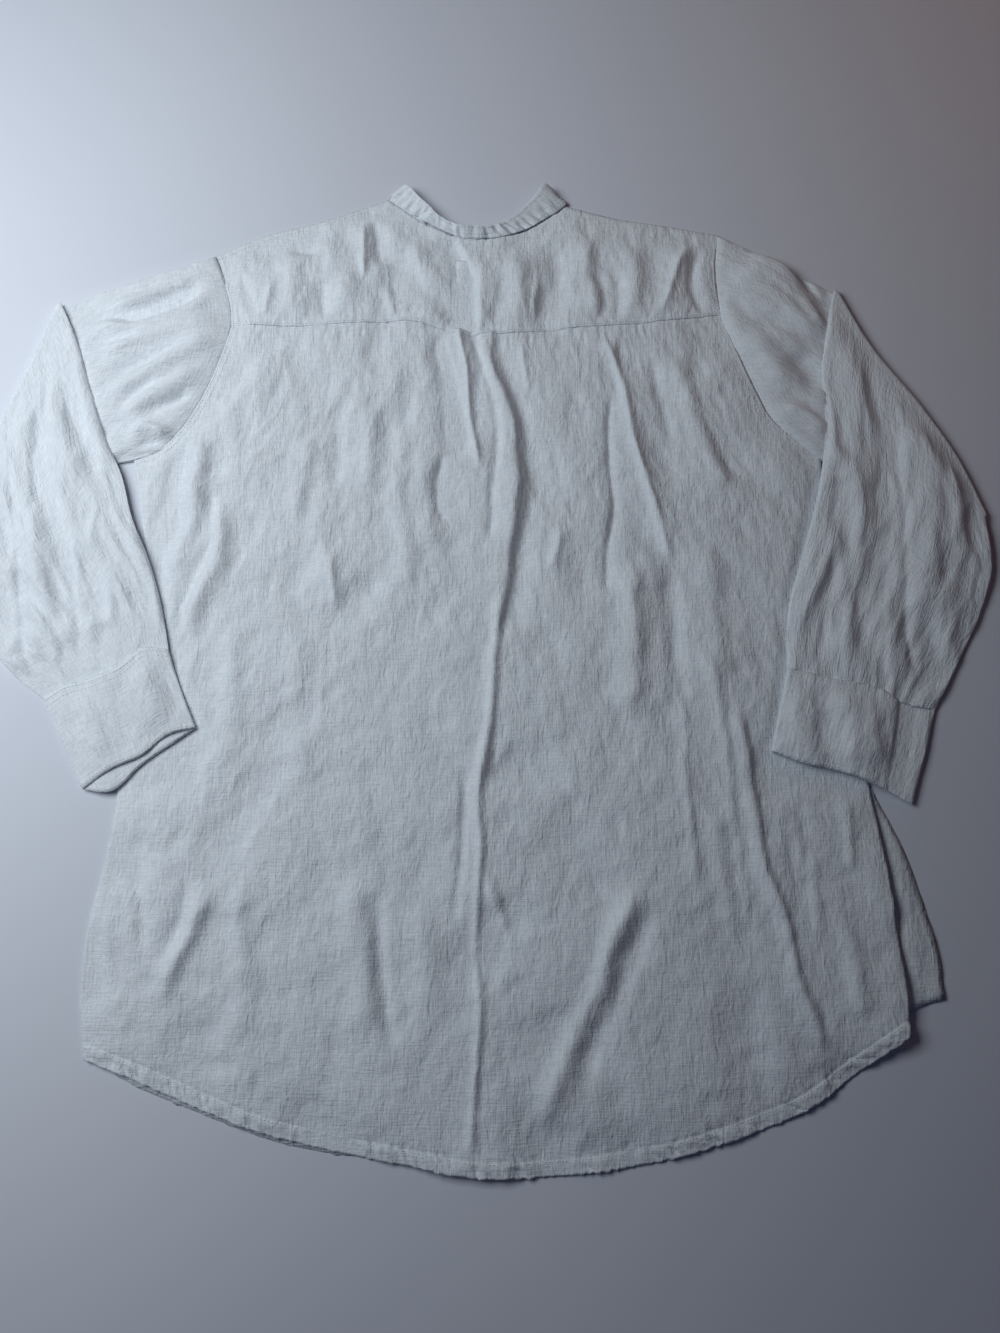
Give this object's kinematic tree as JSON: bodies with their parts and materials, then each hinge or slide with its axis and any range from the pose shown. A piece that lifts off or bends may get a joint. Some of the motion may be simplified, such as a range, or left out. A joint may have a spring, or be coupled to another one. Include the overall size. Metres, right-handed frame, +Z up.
{
  "type": "button-up shirt",
  "caption": "Long-sleeved linen shirt with a band collar, back yoke, box pleat and curved hem, laid flat with its back up and its sleeves folded.",
  "frame": {"origin": "on the resting plane, under the middle of the laid-out shirt's bounding box", "axes": "+Z up from the surface it lies on, +Y toward the collar, -X toward the wearer's left sleeve (the back faces up)"},
  "size_m": [0.8554, 0.8291, 0.0192],
  "materials": {
    "linen": "matte plain-weave white linen, creased",
    "buttons": "satin off-white"
  },
  "bodies": {
    "root": {"back": "linen", "yoke": "linen", "front_left": "linen", "front_right": "linen", "placket": "linen", "collar": "linen", "sleeve_left": "linen", "sleeve_right": "linen", "cuff_left": "linen", "cuff_right": "linen", "button_front_1": "buttons", "button_front_2": "buttons", "button_front_3": "buttons", "button_front_4": "buttons", "button_front_5": "buttons", "button_front_6": "buttons", "button_front_7": "buttons", "button_collar": "buttons", "button_cuff_left": "buttons", "button_cuff_right": "buttons"}
  },
  "joints": []
}
